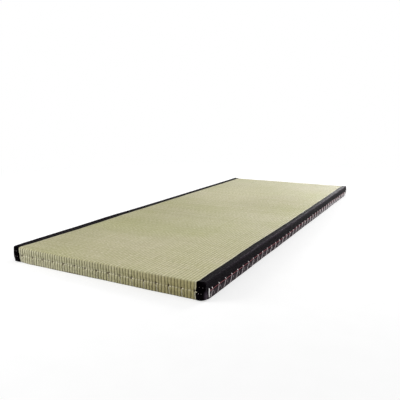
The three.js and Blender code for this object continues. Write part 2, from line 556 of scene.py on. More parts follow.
def cloth_weave():
    """Plain weave: warp and weft take turns on top."""
    tree, n, given, result = node_group(
        "ShaderNodeTree", "cloth weave", {"Cloth": "Vector", "Yarn Pitch": CLOTH_YARN},
        ("Height", "Yarn"))
    u, v, _ = n.parts(given["Cloth"])
    u, v = (n.over(c, given["Yarn Pitch"]) for c in (u, v))
    turn = n.math("PINGPONG", n.plus(n.math("FLOOR", u), n.math("FLOOR", v)), 1.0)
    warp, weft = (n.arch(n.math("FRACT", c)) for c in (u, v))
    own = n.lerp(turn, n.math("FLOOR", u), n.math("FLOOR", v))
    n.feed(result["Height"], n.lerp(turn, warp, weft))
    n.feed(result["Yarn"], n.random(own, turn))
    return tree


def thread_twist():
    """Two plies laid round a thread, from the stored direction round it and length along it."""
    tree, n, given, result = node_group(
        "ShaderNodeTree", "thread twist", {"Round": "Vector", "Twist Pitch": TWIST_PITCH},
        ("Height", "Ply"))
    cosine, sine, along = n.parts(given["Round"])
    angle = n.times(n.over(along, given["Twist Pitch"]), 2 * math.pi)
    double_cos = n.minus(n.times(cosine, cosine), n.times(sine, sine))
    double_sin = n.times(n.times(cosine, sine), 2.0)
    wave = n.plus(n.times(double_sin, n.math("COSINE", angle)),
                  n.times(double_cos, n.math("SINE", angle)))
    height = n.power(n.math("ABSOLUTE", wave), 0.6)
    n.feed(result["Height"], height)
    n.feed(result["Ply"], n.ramp(height, 0.0, 0.5))
    return tree


def handled_patches():
    """Soft uneven patches from drying, light and handling, with a little dust in them."""
    tree, n, given, result = node_group(
        "ShaderNodeTree", "handled patches", {"Place": "Vector", "Patch Size": 0.3, "Seed": 0.0},
        ("Patch", "Mottle", "Dust"))
    place = n.scaled(given["Place"], n.over(1.0, given["Patch Size"]))
    for label, scale, detail, roughness, low, high in (
            ("Patch", 1.0, 2.0, 0.5, 0.3, 0.7), ("Mottle", 7.0, 3.0, 0.6, 0.3, 0.7),
            ("Dust", 60.0, 3.0, 0.7, 0.5, 0.75)):
        speckle = n.noise(place, scale, detail, roughness, given["Seed"])
        n.feed(result[label], n.ramp(speckle, low, high))
    return tree


GROUPS = {"strands": rush_strands(), "weave": cloth_weave(), "twist": thread_twist(),
          "patches": handled_patches()}


# ---------------------------------------------------------------- materials

def colour(red, green, blue):
    """A colour written as it looks, 0 to 255, in the linear numbers that a node takes."""
    linear = [(c / 255 / 12.92) if c <= 10 else ((c / 255 + 0.055) / 1.055) ** 2.4
              for c in (red, green, blue)]
    return (*linear, 1.0)


def new_material(name, roughness, specular=0.3, sheen=0.0, sheen_tint=None,
                 sheen_roughness=None):
    made = bpy.data.materials.new(name)
    made.use_nodes = True
    tree = made.node_tree
    shader = tree.nodes["Principled BSDF"]
    shader.inputs["Roughness"].default_value = roughness
    shader.inputs["Specular IOR Level"].default_value = specular
    shader.inputs["Sheen Weight"].default_value = sheen
    if sheen_tint:
        shader.inputs["Sheen Tint"].default_value = colour(*sheen_tint)
        shader.inputs["Sheen Roughness"].default_value = sheen_roughness
    return made, Nodes(tree), shader


def placed(n, group, **inputs):
    """A shader group in a material, as its named outputs."""
    node = n.tree.nodes.new("ShaderNodeGroup")
    node.node_tree = GROUPS[group]
    for label, value in inputs.items():
        n.feed(node.inputs[label.replace("_", " ")], value)
    return node.outputs


def bumped(n, shader, height, distance, strength=1.0):
    n.feed(shader.inputs["Normal"],
           n.add("ShaderNodeBump", named={"Strength": strength, "Distance": distance,
                                          "Height": height}))


# Colours of the rush
GREEN_RUSH = (186, 184, 137)
TAN_RUSH = (201, 194, 165)
DULL_GREEN = (182, 181, 134)
PALE_STREAK = (205, 200, 160)
# Painted light: the top paler towards the back
BACK_LIGHT_TINT = (206, 202, 182)
PALE_STRAND = (232, 226, 196)
PALE_SPECK = (232, 228, 202)
GREEN_SPECK = (150, 152, 104)
DULL_RIB = (160, 156, 112)
# Across each end: a straw tint with painted shade to the right, a grey tint with painted light to
# the left
STRAW_AND_SHADE = (160, 149, 98)
ASHEN_AND_LIGHT = (200, 198, 176)
# Painted shade in the grooves between the ribs, partly the dark warp there, and deeper on the ends
GROOVE_SHADE = (98, 92, 58)
END_GROOVE_SHADE = (70, 64, 38)
# Painted light on the lower left of each end, painted shade on its lower right
FOOT_LIGHT = (214, 210, 184)
FOOT_SHADE = (96, 90, 58)
# Painted shade in the stitch pits and the seam's crease; painted highlight on the seam's arches, the
# fold above and the rib beside each binding
STITCH_PIT_SHADE = (66, 50, 4)
RUSH_HIGHLIGHT = (238, 234, 216)
# Filters, which the colour under them is multiplied by: the first is painted shade towards the left,
# the second painted shade with a yellow tint towards the front
LEFT_SHADE_FILTER = (238, 238, 234)
FRONT_SHADE_FILTER = (253, 252, 243)
DARKENING = (236, 237, 232)

# Where the rush of the top face has dried greener, duller or paler: the middle of each soft patch,
# its reach along x and y, and the colour that it leans to
TONE_PATCHES = (
    ((-0.36, -0.22), (0.40, 0.42), (134, 129, 40)),
    ((0.20, 0.22), (0.25, 0.34), (138, 132, 66)),
    ((0.36, 0.95), (0.28, 0.32), (164, 160, 134)),
    ((-0.36, -0.84), (0.22, 0.28), (146, 140, 112)),
    ((-0.15, 0.40), (0.25, 0.35), (224, 212, 190)),
    ((0.15, -0.70), (0.42, 0.18), (214, 202, 182)),
)
TONE_PATCH_SHARE = 0.25


def dried_rush(n, x, y, patches, drawn):
    """The rush as it has dried, streaked and in soft patches; painted shade makes it duller to the
    left and yellower to the front, and painted light makes it paler to the back."""
    base = n.mix(patches["Patch"], colour(*GREEN_RUSH), colour(*TAN_RUSH))
    base = n.toward(base, DULL_GREEN, patches["Mottle"], 0.3)
    streak = n.noise(n.joined(n.times(x, 3.0), n.times(y, 90.0)), 1.0, 3.0, 0.6, 5.0)
    base = n.toward(base, PALE_STREAK, n.ramp(streak, 0.45, 0.75, 0.0, 0.5))
    # Painted shade: duller to the left
    base = n.mix(n.ramp(x, 0.45, -0.35), base, n.filtered(base, LEFT_SHADE_FILTER))
    # Painted light: paler towards the back
    base = n.toward(base, BACK_LIGHT_TINT, n.ramp(y, 0.0, 1.0, 0.0, 0.32))
    # Painted shade with a yellow tint towards the front
    base = n.mix(n.ramp(y, -0.3, -0.9), base, n.filtered(base, FRONT_SHADE_FILTER))
    on_top = n.minus(1.0, drawn)
    for middle, reach, tint in TONE_PATCHES:
        away = [n.math("MULTIPLY_ADD", place_along, 1 / size, -centre / size)
                for place_along, size, centre in zip((x, y), reach, middle)]
        away = n.plus(n.times(away[0], away[0]), n.times(away[1], away[1]))
        base = n.toward(base, tint, on_top, n.ramp(away, 1.0, 0.0, 0.0, TONE_PATCH_SHARE))
    return base


def woven_rush(n, base, strands, x, z, drawn):
    """Its strands and ribs, more marked where it is drawn down over the ends, with painted shade in
    the grooves and painted light and shade across the ends and at their foot.
    """
    tone = n.ramp(strands["Strand"], 0.2, 0.85)
    base = n.mix(tone, n.filtered(base, DARKENING), n.toward(base, PALE_STRAND, 0.16))
    base = n.toward(base, PALE_SPECK, n.ramp(strands["Speck"], 0.9, 1.0, 0.0, 0.2))
    base = n.toward(base, GREEN_SPECK, n.ramp(strands["Speck"], 0.08, 0.0, 0.0, 0.22))
    base = n.toward(base, DULL_RIB, strands["Rib"], n.lerp(drawn, 0.16, 0.5))
    # Painted shade with a straw tint to the right of each end, painted light with a grey tint to its
    # left
    base = n.toward(base, STRAW_AND_SHADE, drawn, n.ramp(x, 0.0, 0.35, 0.0, 0.7))
    base = n.toward(base, ASHEN_AND_LIGHT, drawn, n.ramp(x, 0.2, -0.4, 0.0, 0.4))
    # Painted shade in the grooves, partly the dark warp thread in them; deeper painted shade in the
    # ends' grooves, less to the right
    base = n.toward(base, GROOVE_SHADE, n.ramp(strands["Crest"], 0.62, 0.0, 0.0, 0.6))
    base = n.toward(base, END_GROOVE_SHADE, drawn, n.ramp(x, -0.3, 0.35, 0.92, 0.7),
                    n.ramp(strands["Crest"], 0.9, 0.1, 0.0, 0.82))
    # Painted light low on the left of each end, painted shade low on its right
    low = n.times(drawn, n.ramp(z, 24 * MM, 8 * MM))
    base = n.toward(base, FOOT_LIGHT, low, n.ramp(x, 0.15, -0.25, 0.0, 0.16))
    return n.toward(base, FOOT_SHADE, low, n.ramp(x, 0.05, 0.2, 0.0, 0.13))


def rush_material():
    made, n, shader = new_material("woven rush", roughness=0.58, sheen=0.1,
                                   sheen_tint=(250, 246, 236), sheen_roughness=0.3)
    place = n.place()
    dark, pale, drawn = (n.stored(name) for name in ("dark", "pale", "drawn"))
    strands = placed(n, "strands", Facing=n.add("ShaderNodeUVMap", uv_map="facing"))
    patches = placed(n, "patches", Place=place, Patch_Size=0.34, Seed=2.0)
    x, y, z = n.parts(place)
    base = dried_rush(n, x, y, patches, drawn)
    base = woven_rush(n, base, strands, x, z, drawn)
    # Painted shade in the pits and crease, and painted highlight on the seam, the fold and the rib
    # by each binding
    base = n.toward(base, STITCH_PIT_SHADE, dark, 0.95)
    base = n.toward(base, RUSH_HIGHLIGHT, pale, 0.6)
    n.feed(shader.inputs["Base Color"], base)
    rough = n.lerp(dark, n.lerp(strands["Strand"], 0.7, 0.52), 0.95)
    n.feed(shader.inputs["Roughness"], rough)
    height = n.plus(strands["Height"], n.times(strands["Strand"], 0.25))
    bumped(n, shader, height, 0.7 * MM, 0.6)
    return made


def backing_material():
    made, n, shader = new_material("woven backing", roughness=0.85, specular=0.2)
    place = n.place()
    weave = placed(n, "weave", Cloth=place, Yarn_Pitch=BACKING_YARN)
    patches = placed(n, "patches", Place=place, Patch_Size=0.5, Seed=9.0)
    base = n.mix(weave["Yarn"], colour(112, 92, 62), colour(136, 114, 80))
    base = n.toward(base, (96, 78, 52), patches["Mottle"], 0.4)
    base = n.toward(base, (190, 182, 156), patches["Dust"], 0.2)
    n.feed(shader.inputs["Base Color"], base)
    bumped(n, shader, weave["Height"], 0.5 * MM)
    return made


def cloth_material():
    """Black cloth with a soft sheen: painted shade makes it dead black on the tabs; it is greyer
    below the red line, and paler along its edges, partly worn and partly painted sheen."""
    made, n, shader = new_material("black binding cloth", roughness=0.33, specular=0.007,
                                   sheen=0.003, sheen_tint=(214, 206, 224), sheen_roughness=0.22)
    place, wear_and_sheen = n.place(), n.stored("wear_and_sheen")
    weave = placed(n, "weave", Cloth=n.add("ShaderNodeUVMap", uv_map="cloth"))
    patches = placed(n, "patches", Place=place, Patch_Size=0.12, Seed=4.0)
    x, y, z = n.parts(place)
    base = n.mix(weave["Yarn"], colour(10, 6, 10), colour(17, 11, 17))
    base = n.toward(base, (9, 7, 12), patches["Patch"], 0.5)
    base = n.toward(base, (120, 114, 108), patches["Dust"], 0.05)
    # Painted shade: the tabs darkened to near black
    tab = n.ramp(n.math("ABSOLUTE", y), HALF_LENGTH - 7 * MM, HALF_LENGTH - 2 * MM, 0.0, 0.95)
    base = n.toward(base, (2, 1, 2), tab)
    below = n.times(n.ramp(z, 23 * MM, 16 * MM), n.lerp(patches["Mottle"], 0.2, 0.75))
    grey = n.mix(n.ramp(y, 0.0, 0.6), colour(84, 76, 80), colour(112, 104, 107))
    base = n.mix(n.times(below, n.minus(1.0, tab)), base, grey)
    # Partly wear, partly painted sheen along the top edge and at the corners' foot
    base = n.toward(base, (100, 87, 102), wear_and_sheen, n.lerp(patches["Mottle"], 0.5, 1.0))
    n.feed(shader.inputs["Base Color"], base)
    rough = n.lerp(patches["Mottle"], 0.28, 0.36)
    for duller in (n.ramp(x, 0.2, -0.2, 0.0, 0.12), n.ramp(z, 56 * MM, 48 * MM, 0.0, 0.06),
                   n.times(tab, 0.4)):
        rough = n.plus(rough, duller)
    n.feed(shader.inputs["Roughness"], rough)
    bumped(n, shader, weave["Height"], 0.18 * MM, 0.7)
    return made


def thread_material(name, shaded, bright, lit_towards_back=0.0):
    """Two twisted plies, with the dim colour painted as shade between them, and painted light
    whitening the thread towards the back.
    """
    made, n, shader = new_material(name, roughness=0.6, sheen=0.2)
    place = n.place()
    twist = placed(n, "twist", Round=n.stored("round", out=1))
    patches = placed(n, "patches", Place=place, Patch_Size=0.05, Seed=6.0)
    tone = n.times(twist["Ply"], n.lerp(patches["Mottle"], 0.7, 1.0))
    base = n.mix(tone, colour(*shaded), colour(*bright))
    # Painted light: whiter towards the back
    base = n.toward(base, (255, 249, 251), n.ramp(n.parts(place)[1], -0.1, 0.6, 0.0, lit_towards_back))
    n.feed(shader.inputs["Base Color"], base)
    bumped(n, shader, twist["Height"], 0.4 * MM)
    return made


# Each thread's dim colour, painted shade between its plies, its bright colour, and how much painted
# light whitens it towards the back; the grey is the white thread painted darker as shade
THREADS = {
    "cream": ((208, 200, 166), (252, 245, 214)),
    "straw": ((140, 134, 106), (212, 207, 180)),
    "white": ((212, 204, 206), (255, 252, 250), 0.4),
    # The white thread painted darker as shade
    "grey": ((150, 139, 143), (216, 205, 209), 0.85),
    "red": ((84, 29, 38), (154, 66, 78)),
}
MATERIALS = {
    "rush": rush_material(),
    "backing": backing_material(),
    "cloth": cloth_material(),
    **{name: thread_material(name + " sewing thread", *look) for name, look in THREADS.items()},
}


# ---------------------------------------------------------------- geometry trees

def rib_tree():
    """Presses the grooves between the ribs into the facing, along its stored outward direction."""
    tree, n, given, result = node_group(
        "GeometryNodeTree", "rush ribs",
        {"Geometry": "Geometry", "Rib Pitch": RIB_PITCH, "Rib Depth": 1.2 * MM,
         "Depth Spread": 0.25, "Unevenness": 0.3 * MM, "Seed": 1, "Rush": "Material",
         "Backing": "Material"},
        ("Geometry",))
    ribs = n.over(n.read("across"), given["Rib Pitch"])
    rib = n.math("FLOOR", n.plus(ribs, 0.001))
    phase = n.minus(ribs, rib)
    crest = n.arch(n.math("MAXIMUM", phase, 0.0))
    profile = n.power(n.math("MAXIMUM", crest, 0.0), 0.6)
    own = n.add("FunctionNodeRandomValue", None, None, -1.0, 1.0, out=1, data_type="FLOAT",
                named={"ID": n.add("FunctionNodeFloatToInt", rib), "Seed": given["Seed"]})
    depth = n.times(given["Rib Depth"], n.plus(1.0, n.times(own, given["Depth Spread"])))
    groove = n.times(depth, n.minus(profile, 1.0))
    rough = n.noise(n.add("GeometryNodeInputPosition"), 55.0, 2.0, 0.5, 3.0)
    uneven = n.times(n.minus(rough, 0.5), given["Unevenness"])
    amount = n.times(n.plus(groove, uneven), n.read("ribbed"))
    offset = n.scaled(n.read("outward", "FLOAT_VECTOR"), amount)
    shaped = n.add("GeometryNodeSetPosition", given["Geometry"], None, None, offset)
    shaped = n.finished(shaped, given["Rush"])
    backed = n.add("GeometryNodeSetMaterial", shaped, n.read("backing", "BOOLEAN"),
                   given["Backing"])
    n.feed(result["Geometry"], backed)
    return tree


def thread_tree():
    """A round thread along every path, with the direction round it and length along it stored."""
    tree, n, given, result = node_group(
        "GeometryNodeTree", "sewn thread",
        {"Geometry": "Geometry", "Thickness": 1.0, "Sides": THREAD_SIDES,
         "Wander": THREAD_WANDER, "Seed": 0.0, "Thread": "Material"},
        ("Geometry",))
    loose = n.add("ShaderNodeTexNoise", out=1, noise_dimensions="4D", named={
        "Vector": n.add("GeometryNodeInputPosition"), "W": given["Seed"], "Scale": 90.0})
    centred = n.add("ShaderNodeVectorMath", loose, (0.5, 0.5, 0.5), operation="SUBTRACT")
    moved = n.scaled(centred, given["Wander"])
    path = n.add("GeometryNodeSetPosition", given["Geometry"], None, None, moved)
    path = n.add("GeometryNodeMeshToCurve", path)
    path = n.keep(path, "along", n.add("GeometryNodeSplineParameter", out=1))
    section = n.add("GeometryNodeCurvePrimitiveCircle", mode="RADIUS", named={
        "Resolution": given["Sides"], "Radius": 1.0})
    turn = n.times(n.add("GeometryNodeSplineParameter", out=0), 2 * math.pi)
    section = n.keep(section, "turn_x", n.math("COSINE", turn))
    section = n.keep(section, "turn_y", n.math("SINE", turn))
    swept = n.add("GeometryNodeCurveToMesh", named={
        "Curve": path, "Profile Curve": section,
        "Scale": n.times(n.read("thick"), given["Thickness"]), "Fill Caps": True})
    pieces = [n.read(name) for name in ("turn_x", "turn_y", "along")]
    swept = n.keep(swept, "round", n.joined(*pieces), "FLOAT_VECTOR")
    n.feed(result["Geometry"], n.finished(swept, given["Thread"]))
    return tree


RIB_TREE = rib_tree()
THREAD_TREE = thread_tree()


# ---------------------------------------------------------------- rush facing over its filling

# Profiles across an end, as it is faced: places in metres, each with how strongly the upper rush's
# fold shows as a painted highlight, how full the shoulder is in millimetres, and how late the shade
# starts below it
FOLD_SHOWS = ((-0.35, 0.4), (-0.15, 1), (0.0, 0.9), (0.12, 0))
SHOULDER = ((-0.37, -1.8), (-0.29, -0.9), (-0.1, 0.3), (0.1, 1.1), (0.37, 1.4))
LATE_SHADE = ((-0.3, 0), (-0.05, 0.8), (0.2, 1), (0.35, 0.6))
# How deep the grooves between the ribs are on an end, by the height in millimetres
END_GROOVES = ((0, 0.4), (2, 1.25), (25, 1.3), (30, 1.0), (49, 1.0), (59, 0.8))
TOP_GROOVES = 0.75
# Rows of the skin lie closest along the seam
RUSH_HEIGHTS = (6.5, 9.5, 12.5, 15.5, 18.5, 21.5, 23.5, 24.8, 25.8, 26.6, 27.3, 27.9, 28.5, 29.1,
                29.8, 30.6, 31.8, 33.5, 36.5, 40.5, 45)
UNDERSIDE = 0.01 * MM


def end_stitch_places():
    """Stitches along an end, the pitch closing up a little as the sewing went on."""
    k = np.arange(END_STITCHES)
    random = np.random.default_rng(11)
    return -356 * MM + (51.0 * k - 0.2 * k * k) * MM + random.uniform(-1.2, 1.2, k.size) * MM


STITCH_X = end_stitch_places()


def rib_columns():
    """Places across the right half: each rib's own, then the strip under the binding."""
    across = [(rib + phase) * RIB_PITCH for rib in range(RIBS // 2) for phase in RIB_PHASES]
    return np.array(across + [BAND_X, BAND_X + 1.4 * MM, 380 * MM, 384 * MM, CORNER_X])


def rib_place(across):
    """Ribs aren't all the same width."""
    held = 1 - np.clip(np.abs(across) / BAND_X, 0, 1) ** 10
    wander = 0.45 * ripple(across, 0.0317) + 0.3 * ripple(across, 0.0713, 1.0)
    return across + held * (wander - 0.3 * math.sin(1.0)) * MM


def rush_skin():
    """Both halves of the facing, joined along the middle: its points, the outward direction and
    the place across the ribs at each, which end's wall it is on, whether it is on a long side's,
    and the faces."""
    rows = skin_rows((-90, -60, -32, 0), RUSH_HEIGHTS, END_EDGE, SIDE_EDGE)
    across = rib_columns()
    ys = np.linspace(-CORNER_Y, CORNER_Y, 88)
    nx, ny = across.size, ys.size
    half = half_faces(nx, ny, len(rows))
    ends, sides = half_ends(nx, ny, len(rows))
    points, outward, columns, faces = [], [], [], []
    for sign in (1, -1):
        xs = np.abs(rib_place(sign * across))
        skin = half_skin(sign, 0.0, xs, ys, rows)
        points.append(skin)
        outward.append((half_skin(sign, MM, xs, ys, rows) - skin) / MM)
        columns.append(half_skin(1, 0.0, across, ys, rows)[:, 0] * sign)
        number = np.arange(len(skin))
        if sign < 0:
            in_middle = np.abs(skin[:, 0]) < 1e-9
            number = np.where(in_middle, number, number + len(skin))
        faces += [tuple(number[list(f[::sign])].tolist()) for f in half]
    points, outward, columns = (np.concatenate(a) for a in (points, outward, columns))

    used = np.unique(np.concatenate([np.array(f) for f in faces]))
    renumber = np.zeros(len(points), int)
    renumber[used] = np.arange(used.size)
    faces = [tuple(renumber[list(f)].tolist()) for f in faces]
    return (points[used], outward[used], columns[used], np.tile(ends, 2)[used],
            np.tile(sides, 2)[used], faces)


def sewn_seam(faced, z, crest, rib_random):
    """Along the seam across each end the upper rush tucks in, and the lower ribs start as small
    arches: how far it stands out, how dark the rush is with painted shade in the crease, and how
    pale with a painted highlight on the arches and the fold above."""
    seam = SEAM_Z + (0.9 * crest + 0.35 * rib_random - 0.5) * MM
    crease = np.where(z > seam, hump(z - seam, 1.9 * MM), hump(z - seam, 0.9 * MM))
    lower = short_of(z, seam, 2.5 * MM) * smooth(z / (6 * MM))
    relief = -0.8 * MM * crease + 0.3 * MM * lower
    pale = (0.34 + 0.25 * rib_random) * hump(z - (seam - 0.6 * MM), 1.6 * MM) * crest
    pale = pale + 0.2 * follow(FOLD_SHOWS, faced) * hump(z - 33 * MM, 3 * MM)
    return relief, 0.04 * crease, pale


def drawn_by_stitches(x, z, end, relief, dark):
    """Each stitch draws a pit at the seam and a slanting slot down to the foot, with painted shade
    in the pit and beside the slot.
    """
    for place in STITCH_X:
        for which in (-1, 1):
            here = (end == which) * 1.0
            centre = place * -which
            pit = here * hump(x - centre, 3.6 * MM) * hump(z - SEAM_Z, 2.8 * MM)
            wide = here * hump(x - centre, 13 * MM) * hump(z - SEAM_Z, 7 * MM)
            lean = centre - which * END_STITCH_LEAN * (SEAM_Z - z)
            slot = here * hump(x - lean, 1.9 * MM) * short_of(z, SEAM_Z, 2 * MM)
            relief = relief - (3.8 * pit + 0.8 * wide + 0.7 * slot) * MM
            gap = hump(x - (lean + which * 1.8 * MM), 1.1 * MM) * slot
            dark = np.maximum(dark, np.maximum(here * np.minimum(2.6 * pit, 1), 0.4 * gap))
    return relief, dark


def rib_sway(x, y, z, on_wall):
    """How far the ribs stray sideways: in long waves on the top, and in short ones on the ends."""
    top = 0.5 * MM * ripple(y, 0.83, 11 * x)
    low = 0.6 * np.sin(z / (5.5 * MM) + 0.19 * x / MM) + 0.5 * np.sin(z / (3.1 * MM) - 0.47 * x / MM)
    low = low * short_of(z, RUSH_TOP - 3 * MM, 8 * MM) * smooth(z / (3 * MM))
    return np.where(on_wall, low * MM, top)


def foot_lifts(faced, z, crest, rib_random):
    """How far the ends of the ribs are drawn up at the foot, and how far each is rounded."""
    drawn_up = 1.6 * hump(faced + 0.12, 0.045) + 0.5 * hump(faced - 0.02, 0.02)
    drawn_up = np.maximum(drawn_up + 0.4 * rib_random, 0) * MM * short_of(z, 14 * MM, 14 * MM)
    rounded = 2.0 * MM * ((1 - np.sqrt(crest)) * short_of(z, 7 * MM, 7 * MM))
    return drawn_up, rounded


def weave_layout(columns, y, z, end):
    """The weave laid out flat: across the ribs, and along them over the top and down both ends."""
    arc = END_EDGE * math.pi / 2
    turned = np.clip((z - (RUSH_TOP - END_EDGE)) / END_EDGE, 0, 1)
    down = np.where(z < RUSH_TOP - END_EDGE, arc + RUSH_TOP - END_EDGE - z,
                    arc - END_EDGE * np.arcsin(turned))
    along = np.where(end != 0, end * (HALF_LENGTH - END_EDGE + down), y)
    return np.stack([columns, along], 1)


def close_rim(shaped):
    rim = [e for e in shaped.edges if e.is_boundary]
    bmesh.ops.holes_fill(shaped, edges=rim, sides=0)


def rush_mesh():
    skin, outward, columns, end, on_side, faces = rush_skin()
    x, y, z = skin.T
    on_wall = end != 0
    faced = x * -end
    side = np.where(x > 0, 1, -1)
    edge = np.where(on_wall, tab_edge(z, end, side), band_edge(y, side))
    pressed = past(np.abs(columns), edge - 2.2 * MM, 2.0 * MM)
    free = 1 - pressed
    ribs = columns / RIB_PITCH
    crest = np.sin(math.pi * np.mod(ribs, 1.0))
    rib = np.floor(ribs + 1e-6)
    random = np.random.default_rng(5)
    own = random.uniform(-1, 1, 2 * RIBS + 8)
    rib_random = own[(rib + RIBS).astype(int) % own.size]

    # drawn in on the ends, full over their shoulder, and waving a little on the top
    relief, dark, pale = sewn_seam(faced, z, crest, rib_random)
    relief, dark = drawn_by_stitches(x, z, end, relief, dark)
    shoulder = on_wall * follow(SHOULDER, faced) * MM * hump(
        z - (RUSH_TOP - 0.3 * END_EDGE), 3 * MM)
    relief = relief + shoulder * (z < RUSH_TOP - UNDERSIDE)
    on_end = past(np.abs(y), CORNER_Y + 4 * MM, 3 * MM) * free
    top_wave = 0.25 * MM * ripple(y, 0.47, 9 * x) * np.cos(7 * x + 1.0)
    relief = relief * on_end + np.where(z > RUSH_TOP - MM, top_wave, 0) * free
    relief = relief + pressed * PRESSED
    behind_line = -1.2 * MM - 2.6 * MM * hump(z - RED_LINE_Z, 5 * MM)
    relief = np.where(on_side, behind_line, relief)
    points = skin + outward * relief[:, None]

    sway = rib_sway(x, y, z, on_wall) * free
    points[:, 0] += np.where(np.abs(x) < 2 * MM, 0, sway)
    hanging = on_wall & (z > UNDERSIDE)
    for lift in foot_lifts(faced, z, crest, rib_random):
        points[:, 2] += np.where(hanging, lift * free, 0)
    points[:, 2] += corner_lift(x, y, z)
    points[:, 0] += corner_tuck(x, y, z)

    mesh = new_mesh("rush_facing", points, faces, close_rim)
    store(mesh, "across", columns)
    store(mesh, "outward", outward, "FLOAT_VECTOR")
    deep = np.where(on_wall, follow(END_GROOVES, z / MM), TOP_GROOVES)
    store(mesh, "ribbed", free * deep * np.where(z < UNDERSIDE, 0, 1))
    # Painted shade in the pits, beside the slots and in the seam's crease
    store(mesh, "dark", np.clip(dark * on_end, 0, 1))
    # Painted highlight on the rib beside each binding, with the seam's painted highlights
    beside = hump(np.abs(columns) - (edge - 4.2 * MM), 2.4 * MM)
    store(mesh, "pale", np.clip(pale * on_end + 0.45 * beside * free, 0, 1))
    late = 3.2 * MM * follow(LATE_SHADE, faced)
    store(mesh, "drawn", on_wall * short_of(z, RUSH_TOP - late, 5 * MM - late))
    store(mesh, "backing", z < 1.3 * MM, "BOOLEAN")
    lay_out(mesh, "facing", weave_layout(columns, y, z, end)[corner_points(mesh)])
    return mesh


def rush_facing():
    return grown("rush_facing", rush_mesh(), RIB_TREE, {
        "Rib Pitch": RIB_PITCH, "Rib Depth": 1.3 * MM, "Depth Spread": 0.22,
        "Unevenness": 0.4 * MM, "Seed": 3, "Rush": MATERIALS["rush"],
        "Backing": MATERIALS["backing"]})


# ---------------------------------------------------------------- cloth bindings

# Rows of the skin lie closest along the red line
CLOTH_HEIGHTS = (6, 8, 10.2, 12.4, 14.8, 17.2, 19.3, 21, 22.3, 23.3, 24.1, 25, 26.2, 27.7, 29.3,
                 31.2, 33.5, 36.5, 40, 43.5, 47, 50.5)


def stitch_beat(y):
    """An angle that runs full circle from each stitch of a long side to the next."""
    return 2 * math.pi * (y - SIDE_STITCH_FIRST) / SIDE_STITCH_PITCH


def gathers(y, z):
    """The cloth is drawn in along the red line, most at each stitch, and puffs out beside it."""
    beat = stitch_beat(y)
    pulled = hump(z - RED_LINE_Z, 2.6 * MM) * (0.5 + 0.22 * np.cos(beat))
    below = hump(z - 9 * MM, 7 * MM) * (0.28 - 0.3 * np.cos(beat - 0.9))
    above = hump(z - 30 * MM, 8 * MM) * 0.16 * np.cos(beat + math.pi)
    foot = 1.1 * short_of(z, 10 * MM, 9 * MM)
    return below + above + foot - pulled


def top_folds(x, y, side):
    """The folds along both edges of the top band, fuller on the left one."""
    outer = hump(np.abs(x) - (HALF_WIDTH - 5 * MM), 5 * MM)
    inner = hump(np.abs(x) - (BAND_X + 1.5 * MM), 3 * MM)
    if side < 0:
        outer = outer * follow(LEFT_ROLL, y)
    return (1.0 if side < 0 else 0.4) * (0.95 * outer + 0.8 * inner) * MM


def cloth_relief(x, y, z, side):
    """How far the cloth stands out from its plain skin: gathered by the red line of stitches,
    lapped at the corners and a little slack elsewhere."""
    on_top = past(z, RUSH_TOP - 4 * MM, 4 * MM)
    end = np.abs(y) > CORNER_Y + 2 * MM
    in_reach = short_of(np.abs(y), CORNER_Y - 5 * MM, 15 * MM)
    relief = (1 - on_top) * ~end * in_reach * gathers(y, z) * MM
    slack = ripple(y, 0.171, 2 * side) * 0.5 + ripple(y, 0.067, 40 * z) * 0.25
    slack = slack + ripple(y, 0.39) * 0.4
    relief = relief + 0.22 * MM * slack * np.where(end, 0.3, 1.0)
    # the tab's flap is lapped round the corner and held by the thick stitch
    flap = past(np.abs(y), CORNER_Y - 17 * MM, 1.6 * MM) * short_of(z, 34 * MM, 2 * MM)
    relief = relief + 0.55 * MM * flap * (1 - on_top) * ~(np.abs(y) > HALF_LENGTH - 3 * MM)
    relief = relief + top_folds(x, y, side) * on_top
    # the cloth lies thickest over the corner, where the tab is turned
    corner = past(np.abs(x), CORNER_X - 2 * MM, 8 * MM) * past(
        np.abs(y), CORNER_Y - 60 * MM, 60 * MM)
    raised = (0.4 if side < 0 else 1.3) * MM
    return relief + raised * corner * past(z, 41 * MM, 10 * MM)


def cloth_skins(sign, xs, ys, rows):
    """The outer and the inner skin of a binding."""
    skin = half_skin(sign, 0.0, xs, ys, rows)
    outward = (half_skin(sign, MM, xs, ys, rows) - skin) / MM
    x, y, z = skin.T
    end = half_ends(xs.size, ys.size, len(rows))[0]
    reach = np.clip((CORNER_X - np.abs(x)) / (CORNER_X - BAND_X), 0, 1)
    edge = np.where(end != 0, tab_edge(z, end, sign), band_edge(y, sign))
    shift = points_at(-sign * (BAND_X - edge) * reach, 0.0, 0.0)
    relief = cloth_relief(x, y, z, sign)
    outer, inner = (skin + outward * (grow + relief)[:, None] + shift
                    for grow in (CLOTH_OUT, CLOTH_IN))
    hem_wave = 0.4 * MM * ripple(y, SIDE_STITCH_PITCH, 1.1) * short_of(z, HEM_Z + MM, 2 * MM)
    outer[:, 2] += hem_wave
    inner[:, 2] = np.maximum(inner[:, 2] + hem_wave, HEM_Z - 0.5 * MM)
    for skin_side in (outer, inner):
        skin_side[:, 2] += corner_lift(x, y, z)
        skin_side[:, 0] += corner_tuck(x, y, z)
    return outer, inner


